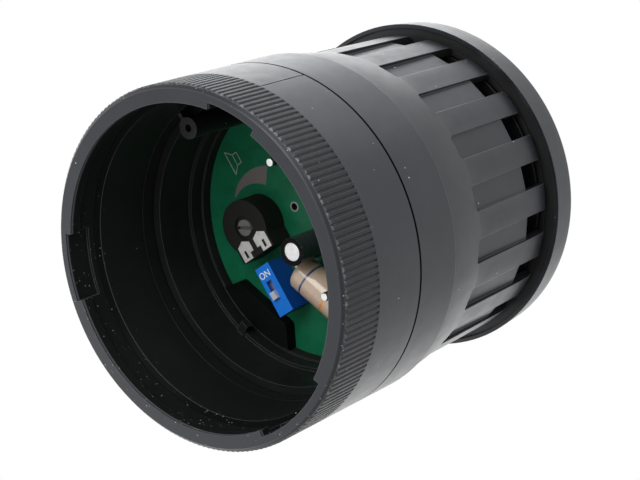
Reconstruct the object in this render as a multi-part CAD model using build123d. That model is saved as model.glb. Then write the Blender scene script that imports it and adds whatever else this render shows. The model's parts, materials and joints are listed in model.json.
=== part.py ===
from build123d import *
import math
import os

# Signal tower sounder module, in millimetres. The open socket rim stands on z = 0, the tower axis is Z
# and the cap is on top. Heights below are measured from the rim face.

STANDING = (Align.CENTER, Align.CENTER, Align.MIN)    # centred on a point and standing on it
OUTWARD = (Align.MIN, Align.CENTER, Align.MIN)        # reaching outwards from a point and standing on it

# --- outer form ---------------------------------------------------------------------------------
BODY_R = 35.0            # plain barrel and knurl tips
RIM_BEVEL = 0.9          # outside the flat rim face
KNURL_END = 10.45
KNURL_DEPTH = 0.35
KNURL_RIBS = 180
KNURL_LAND = 0.42        # share of a rib's pitch left flat at its tip
SEAM_Z = 22.95           # top face of the socket barrel
SEAM_GAP = 0.35          # height of the gasketed seam above it
INDEX_ANGLE = 236.5      # moulded index line on the barrel
INDEX_WIDTH = 0.3
INDEX_DEPTH = 0.15

# --- bayonet socket -----------------------------------------------------------------------------
LIP_H = 2.5
LUG_WALL = 3.5           # from the outside of the barrel to the lip's inner wall at its lugs
CHANNEL_WALL = 2.8       # to the bayonet channel behind the lip
CHANNEL_H = 4.6
CHANNEL_RAMP = 0.8       # height of the slope from the channel in to the bore
GAP_WALL = 2.2           # to the entry gaps between the lugs
GAP_RISE = 3.1           # how far the entry gaps reach above the lip
GAPS = [(-3.6, 33.8), (123.0, 24.1), (240.7, 19.1)]   # centre angle, opening angle
BORE_WALL = 3.7          # to the bore that guides the board carrier
LAND_H = 2.95            # the bore narrows by LAND_STEP for its last stretch
LAND_STEP = 0.2
TONGUE_T = 1.0
TONGUE_H = 3.05          # above the barrel's top face

# --- louvre housing -----------------------------------------------------------------------------
COLLAR_H = 11.3
COLLAR_STEP = 0.45       # small round shoulder above the collar
SHOULDER_BULGE = 0.15
SHOULDER_H = 11.4
CAGE_H = 24.0            # from the shoulder to where the bars start to curl in under the cap
CURL_H = 2.5
NECK_H = 0.5
CAGE_SET_IN = 1.65       # face of the bars behind the collar's face
CAGE_DRAFT = 0.35        # the bars lean in by this much up to their turn
NECK_SET_IN = 1.3        # neck under the cap, behind the bars' top
NECK_T = 0.9
BARS = 20
BAR_ANGLE = 9.39
WINDOW_DROP = 1.16       # the windows start this far down the shoulder
WINDOW_CORNER = 0.9
PANEL_DEPTH = 1.0        # panel face behind the bars
PANEL_T = 1.35
WINDOW_SLOT_H = 7.54     # open slot above each panel
WINDOW_HEAD = 0.3        # solid stretch between a window and the neck
LEDGE_W = 1.2
LEDGE_H = 2.0
LEDGE_RAMP = 1.5

# --- cap ----------------------------------------------------------------------------------------
CAP_SKIRT_DROP = 0.82
CAP_SKIRT_T = 0.85
CAP_OVERHANG = 0.23      # skirt edge beyond the barrel
CAP_DRAFT = 0.38
CAP_H = 5.5              # above the housing's top face
CAP_ROUND = 0.8
CAP_PLUG_H = 1.4
CAP_PLUG_T = 1.7
CAP_WALL = 2.1

# --- board carrier ------------------------------------------------------------------------------
SLIDE_CLEARANCE = 0.1
CARRIER_WALL = 1.78      # at its open end
CARRIER_SET_BACK = 0.17  # its open end behind the barrel's top face
CARRIER_H = 13.58        # from the open end to the seat of the board
STEP_1_H = 3.2
STEP_1_DRAFT = 0.39
STEP_1_W = 0.73
STEP_2_H = 2.0
STEP_2_W = 0.41
STEP_3_DRAFT = 0.29
BOSS_SET_IN = 3.74       # boss axis inside the carrier's guide wall
BOSS_ANGLES = [181.3, 1.3]
BOSS_R = 2.2
BOSS_H = 16.7
SCREW_R = 0.8
SCREW_HEAD_R = 1.9
SCREW_HEAD_H = 1.5
SCREW_L = 9.0
WEB_T = 0.8
LATCH_ANGLE = 74.8
LATCH_W = 1.8
LATCH_H = 1.7
LATCH_REACH = 2.43
LATCH_ROOT = 0.5         # how far the latch is rooted in the carrier

# --- circuit board ------------------------------------------------------------------------------
BOARD_CLEARANCE = 0.5    # round the board's edge
BOARD_T = 1.6
LAYOUT_TURN = 6.3        # the parts stand on a layout turned by this angle

VOLUME_AT = (-6.74, 11.88)
VOLUME_R = 5.8
VOLUME_H = 5.7
VOLUME_FOOT = 6.2        # flat foot edge from the pot's axis
VOLUME_FOOT_W = 9.6
ROTOR_R = 1.7
ROTOR_H = 1.6
ROTOR_CLEARANCE = 0.05
ROTOR_SLOT_W = 0.6
ROTOR_SLOT_D = 0.7
ROTOR_SLOT_ANGLE = -62.0
DIAL_R = 2.5
DIAL_DEPTH = 0.5
TERMINAL_T = 0.3
TERMINAL_OUT = 4.3       # outer and inner edges, from the pot's centre line
TERMINAL_IN = 0.65
TERMINAL_TIP = 1.95      # tip and far end, from the pot's axis
TERMINAL_END = 6.1
TERMINAL_CHAMFER = 0.85
TERMINAL_WAIST = 1.0     # step from the wide head to the narrower tail
TERMINAL_WAIST_AT = 4.8
TERMINAL_HOLE = (1.65, 0.65)
TERMINAL_HOLE_AT = (4.82, 2.88)

SWITCH_AT = (7.09, 12.75)
SWITCH_L = 10.87
SWITCH_W = 4.15
SWITCH_H = 5.7
SLOT_L = 4.2
SLOT_W = 1.5
SLOT_OFFSET = 0.2
SLOT_DEPTH = 1.2
SLIDER_L = 1.7
SLIDER_TRAVEL = 2.1
SLIDER_CLEARANCE = 0.05
SLIDER_PROUD = 0.75
PIN_PITCH = 7.62
PIN_T = 0.5

CAPACITOR_AT = (3.43, -0.78)
CAPACITOR_R = 2.85
CAPACITOR_H = 10.7
SLEEVE_T = 0.25
SLEEVE_LIP = 0.75

RESISTOR_AT = (13.68, 1.7)
RESISTOR_ANGLE = -25.0
RESISTOR_R = 3.6
RESISTOR_L = 15.9
RESISTOR_ROUND = 1.4
RESISTOR_STANDOFF = 0.8
LEAD_R = 0.4
LEAD_REACH = 1.6

POSTS_AT = [(-13.2, -8.0), (14.4, -3.9)]
POST_R = 0.9
POST_L = 11.8
TIP_R = 0.75
TIP_H = 0.4

EYELET_AT = (-5.45, 2.3)
EYELET_R = 1.05
EYELET_BORE_R = 0.75
EYELET_FLANGE = 0.08
EYELET_WALL = 0.15

BLOCK_ANGLE = 71.2
BLOCK_DEPTH = 5.9        # from the edge of the carrier's opening to the inner face
BLOCK_HALF_W = 7.2
BLOCK_OFFSET = 1.6
BLOCK_SPLAY = 33.5
BLOCK_CORNER = 1.0
BLOCK_H = 2.7
BLOCK_CLEARANCE = 0.2
BLOCK_PINS = 3
BLOCK_PIN_PITCH = 4.0
BLOCK_PIN_IN = 2.35      # pin row behind the block's inner face

# --- loudspeaker --------------------------------------------------------------------------------
SPEAKER_CLEARANCE = 3.0  # between the back of the board and the speaker's yoke
GASKET_H = 0.8
FRAME_CLEARANCE = 0.2
FRAME_FLANGE_T = 1.5
FRAME_LAND = 5.0
FRAME_WALL = 1.0
BASKET_R = 12.0
BASKET_DROP = 10.6
MAGNET_R = 11.5
MAGNET_BORE_R = 5.2
MAGNET_H = 3.4
YOKE_T = 1.5
POLE_R = 4.0
COIL_R = 4.3
COIL_WALL = 0.35
COIL_H = 6.0
CONE_T = 0.4
CONE_THROAT_R = 5.4
DUST_CAP_RISE = 1.8
FEED_PIN_R = 0.5
FEED_PIN_SET_IN = 2.1    # inside the speaker's ledge
FEED_PIN_ANGLES = [84.0, 96.0]

# --- places that follow from the sizes above -----------------------------------------------------
LUG_R = BODY_R - LUG_WALL
CHANNEL_R = BODY_R - CHANNEL_WALL
GAP_R = BODY_R - GAP_WALL
BORE_R = BODY_R - BORE_WALL
TONGUE_R = BORE_R + TONGUE_T
HOUSING_BORE_R = TONGUE_R + SLIDE_CLEARANCE
CAGE_R = BODY_R - CAGE_SET_IN
CAGE_TOP_R = CAGE_R - CAGE_DRAFT
NECK_R = CAGE_TOP_R - NECK_SET_IN
PANEL_R = CAGE_R - PANEL_DEPTH
HOUSING_MID_R = PANEL_R - PANEL_T
HOUSING_TOP_R = NECK_R - NECK_T
LEDGE_R = HOUSING_TOP_R - LEDGE_W
CAP_EDGE_R = BODY_R + CAP_OVERHANG
CAP_TOP_R = CAP_EDGE_R - CAP_DRAFT
GUIDE_R = BORE_R - SLIDE_CLEARANCE
CARRIER_MOUTH_R = GUIDE_R - CARRIER_WALL
STEP_1_R = CARRIER_MOUTH_R - STEP_1_DRAFT
STEP_2_R = STEP_1_R - STEP_1_W
STEP_3_R = STEP_2_R - STEP_2_W
BOARD_OPENING_R = STEP_3_R - STEP_3_DRAFT
BOSS_PITCH_R = GUIDE_R - BOSS_SET_IN
LATCH_R = STEP_1_R - LATCH_REACH
BOARD_R = HOUSING_BORE_R - BOARD_CLEARANCE
BLOCK_FACE = BOARD_OPENING_R - BLOCK_DEPTH
FRAME_R = HOUSING_TOP_R - FRAME_CLEARANCE
FEED_PIN_AT_R = LEDGE_R - FEED_PIN_SET_IN

CHANNEL_TOP = LIP_H + CHANNEL_H
GAP_TOP = LIP_H + GAP_RISE
BORE_START = CHANNEL_TOP + CHANNEL_RAMP
LAND_Z = SEAM_Z - LAND_H
TONGUE_TOP = SEAM_Z + TONGUE_H
SEAM_TOP = SEAM_Z + SEAM_GAP
COLLAR_TOP = SEAM_TOP + COLLAR_H
CAGE_Z = COLLAR_TOP + SHOULDER_H
CAGE_TURN_Z = CAGE_Z + CAGE_H
NECK_Z = CAGE_TURN_Z + CURL_H
WINDOW_BOTTOM = CAGE_Z - WINDOW_DROP
WINDOW_TOP = NECK_Z - WINDOW_HEAD
PANEL_TOP = WINDOW_TOP - WINDOW_SLOT_H
CAP_UNDER = NECK_Z + NECK_H
CAP_TOP = CAP_UNDER + CAP_H
CARRIER_Z = SEAM_Z + CARRIER_SET_BACK
BOARD_Z = CARRIER_Z + CARRIER_H    # seat of the board and its component side
BOARD_BACK = BOARD_Z + BOARD_T
STEP_2_Z = BOARD_Z - STEP_2_H
STEP_1_Z = STEP_2_Z - STEP_1_H
BOSS_Z = BOARD_Z - BOSS_H
POST_TOP = BOARD_Z - POST_L
YOKE_Z = BOARD_BACK + SPEAKER_CLEARANCE
BASKET_Z = YOKE_Z + YOKE_T + MAGNET_H
FRAME_Z = BASKET_Z + BASKET_DROP
LEDGE_Z = FRAME_Z - GASKET_H       # seat of the speaker


def turned(outline):
    """Body of revolution about the tower axis, from (radius, height) corners."""
    corners = [(radius, 0, height) for radius, height in outline]
    return revolve(make_face(Polyline(*corners, close=True)), Axis.Z)


def ring(outer, inner, bottom, top):
    """Plain tube about the tower axis."""
    return turned([(inner, bottom), (outer, bottom), (outer, top), (inner, top)])


def rod(radius, bottom, top, at=(0, 0)):
    """Upright round rod."""
    return Pos(at[0], at[1], bottom) * Cylinder(radius, top - bottom, align=STANDING)


def block(length, width, bottom, top):
    """Upright box centred on the origin."""
    return Pos(0, 0, bottom) * Box(length, width, top - bottom, align=STANDING)


def sector(radius, angle, opening, bottom, top):
    """Wedge of a disc, centred on an angle."""
    half = math.radians(opening / 2)
    reach = radius / math.cos(half)
    corners = [(0, 0), (reach * math.cos(half), -reach * math.sin(half)),
               (reach * math.cos(half), reach * math.sin(half))]
    wedge = extrude(make_face(Polyline(*corners, close=True)), top - bottom)
    return Rot(0, 0, angle) * Pos(0, 0, bottom) * wedge & rod(radius, bottom, top)


def on_layout(at, turn=0.0):
    """Place on the circuit board's layout."""
    return Rot(0, 0, LAYOUT_TURN) * Pos(at[0], at[1], 0) * Rot(0, 0, turn)


def knurl_blank():
    """Star prism whose points are cut back to the body radius by the barrel's own outline."""
    root_r = BODY_R - KNURL_DEPTH
    point_r = root_r + KNURL_DEPTH / (1 - KNURL_LAND)
    step = math.pi / KNURL_RIBS
    radii = [root_r, point_r] * KNURL_RIBS
    corners = [(radius * math.cos(i * step), radius * math.sin(i * step)) for i, radius in enumerate(radii)]
    return extrude(make_face(Polyline(*corners, close=True)), KNURL_END)


def socket_barrel():
    """Knurled bayonet socket with its lugs, entry gaps, bore and the tongue that locates the housing."""
    land_r = BORE_R - LAND_STEP
    body = turned([
        (LUG_R, 0), (BODY_R - RIM_BEVEL, 0), (BODY_R, RIM_BEVEL), (BODY_R, SEAM_Z), (TONGUE_R, SEAM_Z),
        (TONGUE_R, TONGUE_TOP), (BORE_R, TONGUE_TOP), (BORE_R, SEAM_Z), (land_r, SEAM_Z), (land_r, LAND_Z),
        (BORE_R, LAND_Z), (BORE_R, BORE_START), (CHANNEL_R, CHANNEL_TOP), (CHANNEL_R, LIP_H), (LUG_R, LIP_H)])
    blank = knurl_blank() + rod(BODY_R + 1, KNURL_END, TONGUE_TOP + 1)
    body = body & blank
    for angle, opening in GAPS:
        body -= sector(GAP_R, angle, opening, 0, GAP_TOP)
    index = block(2 * INDEX_DEPTH, INDEX_WIDTH, KNURL_END, SEAM_Z)
    return body - Rot(0, 0, INDEX_ANGLE) * Pos(BODY_R, 0, 0) * index


def joint_gasket():
    """Flat sealing ring in the seam between barrel and housing."""
    return ring(BODY_R - 0.7, HOUSING_BORE_R + 0.6, SEAM_Z, SEAM_TOP)


def housing_outline():
    """Half section of the louvre housing before its windows are cut."""
    shoulder = (BODY_R - COLLAR_STEP, 0, COLLAR_TOP + COLLAR_STEP)
    cage = (CAGE_R, 0, CAGE_Z)
    middle = ((shoulder[0] + cage[0]) / 2 + SHOULDER_BULGE, 0, (shoulder[2] + cage[2]) / 2)
    turn = (CAGE_TOP_R, 0, CAGE_TURN_Z)
    neck = (NECK_R, 0, NECK_Z)
    curl = (CAGE_TOP_R - 0.35 * (CAGE_TOP_R - NECK_R), 0, CAGE_TURN_Z + 0.62 * (NECK_Z - CAGE_TURN_Z))
    inside = [(NECK_R, 0, CAP_UNDER), (HOUSING_TOP_R, 0, CAP_UNDER), (HOUSING_TOP_R, 0, LEDGE_Z),
              (LEDGE_R, 0, LEDGE_Z), (LEDGE_R, 0, LEDGE_Z - LEDGE_H),
              (HOUSING_MID_R, 0, LEDGE_Z - LEDGE_H - LEDGE_RAMP), (HOUSING_MID_R, 0, BOARD_BACK),
              (HOUSING_BORE_R, 0, BOARD_BACK), (HOUSING_BORE_R, 0, SEAM_TOP), (BODY_R, 0, SEAM_TOP),
              (BODY_R, 0, COLLAR_TOP)]
    return make_face([Polyline((BODY_R, 0, COLLAR_TOP), shoulder), ThreePointArc(shoulder, middle, cage),
                      Line(cage, turn), ThreePointArc(turn, curl, neck), Polyline(neck, *inside)])


def window_cutter():
    """One louvre window: a shallow pocket over the panel and an open slot above it."""
    half_gap = math.radians(360 / BARS - BAR_ANGLE) / 2
    width = 2 * CAGE_R * math.sin(half_gap)
    height = WINDOW_TOP - WINDOW_BOTTOM
    depth = BODY_R - PANEL_R
    pocket = Pos(PANEL_R, 0, WINDOW_BOTTOM) * Box(depth, width, height, align=OUTWARD)
    low_corners = pocket.edges().filter_by(Axis.X).group_by(Axis.Z)[0]
    pocket = fillet(low_corners, WINDOW_CORNER)
    slot = Box(BODY_R - LEDGE_R, width, WINDOW_TOP - PANEL_TOP, align=OUTWARD)
    return pocket + Pos(LEDGE_R, 0, PANEL_TOP) * slot


def louvre_housing():
    """Sound outlet housing: bars between recessed panels, open slots above the panels."""
    body = revolve(housing_outline(), Axis.Z)
    cutter = window_cutter()
    windows = [Rot(0, 0, (i + 0.5) * 360 / BARS) * cutter for i in range(BARS)]
    return body - windows


def top_cap():
    """Flanged cap with a drip skirt outside and a locating plug inside the housing."""
    skirt_z = CAP_UNDER - CAP_SKIRT_DROP
    skirt_r = CAP_EDGE_R - CAP_SKIRT_T
    plug_r = HOUSING_TOP_R - SLIDE_CLEARANCE
    bore_r = plug_r - CAP_PLUG_T
    plug_z = CAP_UNDER - CAP_PLUG_H
    cap = turned([(0, CAP_TOP), (CAP_TOP_R, CAP_TOP), (CAP_EDGE_R, skirt_z), (skirt_r, skirt_z),
                  (skirt_r, CAP_UNDER), (plug_r, CAP_UNDER), (plug_r, plug_z), (bore_r, plug_z),
                  (bore_r, CAP_TOP - CAP_WALL), (0, CAP_TOP - CAP_WALL)])
    rim = cap.edges().filter_by(GeomType.CIRCLE).group_by(Axis.Z)[-1]
    return fillet(rim, CAP_ROUND)


def board_carrier():
    """Stepped inner ring that seats the board, with its screw bosses and the contact block latch."""
    outer_r = HOUSING_BORE_R - SLIDE_CLEARANCE
    body = turned([
        (CARRIER_MOUTH_R, CARRIER_Z), (GUIDE_R, CARRIER_Z), (GUIDE_R, TONGUE_TOP), (outer_r, TONGUE_TOP),
        (outer_r, BOARD_Z), (BOARD_OPENING_R, BOARD_Z), (STEP_3_R, STEP_2_Z), (STEP_2_R, STEP_2_Z),
        (STEP_2_R, STEP_1_Z), (STEP_1_R, STEP_1_Z)])
    for angle in BOSS_ANGLES:
        boss = rod(BOSS_R, BOSS_Z, BOARD_Z, (BOSS_PITCH_R, 0))
        web_l = BOSS_SET_IN - LAND_STEP - SLIDE_CLEARANCE
        web = Pos(BOSS_PITCH_R, 0, BOSS_Z) * Box(web_l, WEB_T, STEP_1_Z - BOSS_Z, align=OUTWARD)
        pilot = rod(SCREW_R, BOSS_Z, BOARD_Z, (BOSS_PITCH_R, 0))
        body += Rot(0, 0, angle) * (boss + web)
        body -= Rot(0, 0, angle) * pilot
    latch = Box(LATCH_REACH + LATCH_ROOT, LATCH_W, LATCH_H, align=OUTWARD)
    return body + Rot(0, 0, LATCH_ANGLE) * Pos(LATCH_R, 0, STEP_1_Z - LATCH_H / 4) * latch


def board_screws():
    """Two self-tapping screws that hold the board to the carrier's bosses."""
    screws = []
    for angle in BOSS_ANGLES:
        shank = rod(SCREW_R, BOARD_BACK - SCREW_L, BOARD_BACK, (BOSS_PITCH_R, 0))
        head = rod(SCREW_HEAD_R, BOARD_BACK, BOARD_BACK + SCREW_HEAD_H, (BOSS_PITCH_R, 0))
        bar = block(2 * SCREW_R, SCREW_R / 2, 0, SCREW_HEAD_H)
        cross = bar + Rot(0, 0, 90) * bar
        drive = Pos(BOSS_PITCH_R, 0, BOARD_BACK + SCREW_HEAD_H / 2) * cross
        screws.append(Rot(0, 0, angle) * (shank + head - drive))
    return Compound(children=screws)


def lead_places():
    """Every lead that passes through the board: its place, its radius and its body."""
    pins = [on_layout(SWITCH_AT) * Pos(side * PIN_PITCH / 2, 0) for side in (-1, 1)]
    pins += [on_layout(VOLUME_AT) * Pos(*volume_leg_at(side)) for side in (-1, 1)]
    pins += [on_layout(RESISTOR_AT, RESISTOR_ANGLE) * Pos(side * (RESISTOR_L / 2 + LEAD_REACH), 0)
             for side in (-1, 1)]
    pins += block_pin_places()
    return pins


def block_pin_places():
    """Contact block pins stand in a row between its inner face and the carrier."""
    radius = BLOCK_FACE + BLOCK_PIN_IN
    return [Rot(0, 0, BLOCK_ANGLE) * Pos(radius, BLOCK_OFFSET + (i - (BLOCK_PINS - 1) / 2) * BLOCK_PIN_PITCH)
            for i in range(BLOCK_PINS)]


def volume_leg_at(side):
    """Where a terminal of the volume pot turns down towards the board."""
    return (TERMINAL_END - TERMINAL_T, side * (TERMINAL_OUT + TERMINAL_IN + TERMINAL_WAIST) / 2)


def circuit_board():
    """Round board clamped between the carrier and the housing's shoulder."""
    board = rod(BOARD_R, BOARD_Z, BOARD_BACK)
    for angle in BOSS_ANGLES:
        board -= Rot(0, 0, angle) * rod(SCREW_R, BOARD_Z, BOARD_BACK, (BOSS_PITCH_R, 0))
    for place in lead_places():
        board -= place * rod(LEAD_R, BOARD_Z, BOARD_BACK)
    board -= on_layout(EYELET_AT) * rod(EYELET_BORE_R + EYELET_WALL, BOARD_Z, BOARD_BACK)
    return board


def test_eyelet():
    """Plated hole, as a thin flanged eyelet."""
    outer_r = EYELET_BORE_R + EYELET_WALL
    eyelet = turned([
        (EYELET_BORE_R, BOARD_Z - EYELET_FLANGE), (EYELET_R, BOARD_Z - EYELET_FLANGE), (EYELET_R, BOARD_Z),
        (outer_r, BOARD_Z), (outer_r, BOARD_BACK), (EYELET_BORE_R, BOARD_BACK)])
    return on_layout(EYELET_AT) * eyelet


def volume_pot():
    """Round preset potentiometer body with a flat foot and a dished dial."""
    face_z = BOARD_Z - VOLUME_H
    body = rod(VOLUME_R, face_z, BOARD_Z)
    body += Pos(VOLUME_FOOT / 2, 0, 0) * block(VOLUME_FOOT, VOLUME_FOOT_W, face_z, BOARD_Z)
    body -= rod(DIAL_R, face_z, face_z + DIAL_DEPTH)
    body -= rod(ROTOR_R + ROTOR_CLEARANCE, face_z, face_z + DIAL_DEPTH + ROTOR_H)
    body -= volume_terminal_tools()
    return on_layout(VOLUME_AT) * body


def volume_terminal(side):
    """Stamped terminal: pointed head and narrower tail on the pot's face, and a leg through its body."""
    face_z = BOARD_Z - VOLUME_H
    middle = (TERMINAL_OUT + TERMINAL_IN) / 2
    neck = TERMINAL_TIP + TERMINAL_CHAMFER
    tail = TERMINAL_IN + TERMINAL_WAIST
    corners = [(TERMINAL_TIP, middle), (neck, TERMINAL_OUT), (TERMINAL_END, TERMINAL_OUT),
               (TERMINAL_END, tail), (TERMINAL_WAIST_AT, tail), (TERMINAL_WAIST_AT, TERMINAL_IN),
               (neck, TERMINAL_IN)]
    outline = [(x, side * y) for x, y in corners]
    plate = Pos(0, 0, face_z) * extrude(make_face(Polyline(*outline, close=True)), TERMINAL_T)
    hole = block(*TERMINAL_HOLE, face_z, face_z + TERMINAL_T)
    hole = Pos(TERMINAL_HOLE_AT[0], side * TERMINAL_HOLE_AT[1], 0) * hole
    leg = Pos(*volume_leg_at(side), 0) * block(PIN_T, PIN_T, face_z, BOARD_Z)
    return plate - hole + leg


def volume_terminal_tools():
    """Recesses in the pot for its two terminals."""
    return [volume_terminal(side) for side in (-1, 1)]


def volume_terminals():
    """The pot's two outer terminals, standing through the board."""
    both = []
    for side in (-1, 1):
        tail = Pos(*volume_leg_at(side), 0) * block(PIN_T, PIN_T, BOARD_Z, BOARD_BACK)
        both.append(on_layout(VOLUME_AT) * (volume_terminal(side) + tail))
    return Compound(children=both)


def volume_rotor():
    """Slotted rotor that a small screwdriver turns."""
    top = BOARD_Z - VOLUME_H + DIAL_DEPTH
    rotor = rod(ROTOR_R, top - DIAL_DEPTH, top + ROTOR_H)
    slot = block(3 * ROTOR_R, ROTOR_SLOT_W, top - DIAL_DEPTH, top - DIAL_DEPTH + ROTOR_SLOT_D)
    return on_layout(VOLUME_AT) * (rotor - Rot(0, 0, ROTOR_SLOT_ANGLE) * slot)


def switch_body():
    """One-way slide switch with an open slot for its slider."""
    face_z = BOARD_Z - SWITCH_H
    body = block(SWITCH_L, SWITCH_W, face_z, BOARD_Z)
    slot = Pos(0, SLOT_OFFSET, 0) * block(SLOT_L, SLOT_W, face_z, face_z + SLOT_DEPTH)
    return on_layout(SWITCH_AT) * (body - slot)


def switch_slider():
    """Slider button, at rest at the end of its slot away from the ON mark."""
    face_z = BOARD_Z - SWITCH_H
    width = SLOT_W - 2 * SLIDER_CLEARANCE
    floor = face_z + SLOT_DEPTH - SLIDER_CLEARANCE
    button = block(SLIDER_L, width, face_z - SLIDER_PROUD, floor)
    return on_layout(SWITCH_AT) * Pos(SLIDER_TRAVEL / 2, SLOT_OFFSET, 0) * button


def switch_pins():
    """The switch's two pins through the board."""
    pins = [on_layout(SWITCH_AT) * Pos(side * PIN_PITCH / 2, 0, 0) * block(PIN_T, PIN_T, BOARD_Z, BOARD_BACK)
            for side in (-1, 1)]
    return Compound(children=pins)


def capacitor_sleeve():
    """Shrink sleeve, turned in over the can's edge."""
    low = BOARD_Z - CAPACITOR_H
    inner = CAPACITOR_R - SLEEVE_T
    sleeve = turned([(inner - SLEEVE_LIP, low), (CAPACITOR_R, low), (CAPACITOR_R, BOARD_Z), (inner, BOARD_Z),
                     (inner, low + SLEEVE_T), (inner - SLEEVE_LIP, low + SLEEVE_T)])
    return on_layout(CAPACITOR_AT) * sleeve


def capacitor_can():
    """Aluminium can inside the sleeve."""
    low = BOARD_Z - CAPACITOR_H
    inner = CAPACITOR_R - SLEEVE_T
    lid_r = inner - SLEEVE_LIP
    can = turned([(0, low + SLEEVE_T / 2), (lid_r, low + SLEEVE_T / 2), (lid_r, low + SLEEVE_T),
                  (inner, low + SLEEVE_T), (inner, BOARD_Z), (0, BOARD_Z)])
    return on_layout(CAPACITOR_AT) * can


def resistor_height():
    """Height of the resistor's axis."""
    return BOARD_Z - RESISTOR_STANDOFF - RESISTOR_R


def power_resistor():
    """Coated axial resistor with rounded ends, lying parallel to the board."""
    body = Rot(0, 90, 0) * Cylinder(RESISTOR_R, RESISTOR_L)
    body = fillet(body.edges().filter_by(GeomType.CIRCLE), RESISTOR_ROUND)
    return on_layout(RESISTOR_AT, RESISTOR_ANGLE) * Pos(0, 0, resistor_height()) * body


def resistor_leads():
    """Bent wire leads from the resistor's ends through the board."""
    leads = []
    for side in (-1, 1):
        start = side * RESISTOR_L / 2
        corner = start + side * LEAD_REACH
        points = [(start, 0, resistor_height()), (corner, 0, resistor_height()), (corner, 0, BOARD_BACK)]
        path = FilletPolyline(*points, radius=2 * LEAD_R)
        profile = Plane(origin=path @ 0, z_dir=path % 0) * Circle(LEAD_R)
        leads.append(on_layout(RESISTOR_AT, RESISTOR_ANGLE) * sweep(profile, path=path))
    return Compound(children=leads)


def contact_posts():
    """Insulated posts that carry the through contacts down towards the next module."""
    posts = [on_layout(at) * rod(POST_R, POST_TOP, BOARD_Z) for at in POSTS_AT]
    return Compound(children=posts)


def post_tips():
    """Plated contact tips on the posts."""
    tips = [on_layout(at) * rod(TIP_R, POST_TOP - TIP_H, POST_TOP) for at in POSTS_AT]
    return Compound(children=tips)


def contact_block():
    """Moulded contact block at the board's edge, with a straight inner face and splayed sides."""
    spread = (BOARD_OPENING_R - BLOCK_FACE) * math.tan(math.radians(BLOCK_SPLAY))
    corners = [(BLOCK_FACE, -BLOCK_HALF_W), (BLOCK_FACE, BLOCK_HALF_W),
               (BOARD_OPENING_R, BLOCK_HALF_W + spread), (BOARD_OPENING_R, -BLOCK_HALF_W - spread)]
    wedge = extrude(make_face(Polyline(*corners, close=True)), BLOCK_H)
    wedge = Pos(0, BLOCK_OFFSET, BOARD_Z - BLOCK_H) * wedge
    wedge = fillet(wedge.edges().filter_by(Axis.Z).group_by(Axis.X)[0], BLOCK_CORNER)
    limit = rod(BOARD_OPENING_R - BLOCK_CLEARANCE, BOARD_Z - BLOCK_H, BOARD_Z)
    return Rot(0, 0, BLOCK_ANGLE) * wedge & limit


def block_pins():
    """Pins of the contact block through the board."""
    pins = [place * block(PIN_T, PIN_T, BOARD_Z, BOARD_BACK) for place in block_pin_places()]
    return Compound(children=pins)


def speaker_gasket():
    """Foam ring between the housing's ledge and the speaker frame."""
    return ring(FRAME_R, LEDGE_R, LEDGE_Z, FRAME_Z)


def speaker_frame():
    """Pressed basket: seating flange, cone-shaped wall and a flat floor with a hole for the voice coil."""
    wall_r = FRAME_R - FRAME_LAND
    top = FRAME_Z + FRAME_FLANGE_T
    hole_r = COIL_R + 2 * COIL_WALL
    return turned([(wall_r, FRAME_Z), (FRAME_R, FRAME_Z), (FRAME_R, top), (wall_r - FRAME_WALL, top),
                   (BASKET_R - FRAME_WALL, BASKET_Z + FRAME_WALL), (hole_r, BASKET_Z + FRAME_WALL),
                   (hole_r, BASKET_Z), (BASKET_R, BASKET_Z)])


def speaker_magnet():
    """Ring magnet under the basket."""
    return ring(MAGNET_R, MAGNET_BORE_R, BASKET_Z - MAGNET_H, BASKET_Z)


def speaker_yoke():
    """Back plate and pole piece."""
    plate_z = YOKE_Z + YOKE_T
    return turned([(0, YOKE_Z), (MAGNET_R, YOKE_Z), (MAGNET_R, plate_z), (POLE_R, plate_z),
                   (POLE_R, BASKET_Z + FRAME_WALL), (0, BASKET_Z + FRAME_WALL)])


def coil_top():
    """Top of the voice coil, where the cone's throat sits."""
    return BASKET_Z - MAGNET_H / 2 + COIL_H


def voice_coil():
    """Coil on its former in the magnet's gap."""
    return ring(COIL_R + COIL_WALL, COIL_R, coil_top() - COIL_H, coil_top())


def speaker_cone():
    """Diaphragm with its glued rim on the frame's flange and its throat on the voice coil."""
    top = FRAME_Z + FRAME_FLANGE_T
    rim_r = FRAME_R - FRAME_LAND / 2
    edge_r = FRAME_R - FRAME_LAND - FRAME_WALL - 1.5 * CONE_T
    throat = coil_top()
    return turned([
        (COIL_R, throat), (CONE_THROAT_R, throat), (edge_r, top + CONE_T / 2), (edge_r + CONE_T, top),
        (rim_r, top), (rim_r, top + CONE_T), (edge_r, top + 1.6 * CONE_T), (CONE_THROAT_R, throat + CONE_T),
        (COIL_R, throat + CONE_T)])


def dust_cap():
    """Domed cap glued over the cone's throat."""
    low = coil_top() + CONE_T
    dome_r = (CONE_THROAT_R ** 2 + DUST_CAP_RISE ** 2) / (2 * DUST_CAP_RISE)
    shell = Sphere(dome_r) - Sphere(dome_r - CONE_T)
    return Pos(0, 0, low + DUST_CAP_RISE - dome_r) * shell & rod(CONE_THROAT_R, low, low + DUST_CAP_RISE)


def feed_pins():
    """Stiff pins that carry the signal from the board up to the speaker frame."""
    pin = rod(FEED_PIN_R, BOARD_BACK, FRAME_Z, (FEED_PIN_AT_R, 0))
    return Compound(children=[Rot(0, 0, angle) * pin for angle in FEED_PIN_ANGLES])


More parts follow.
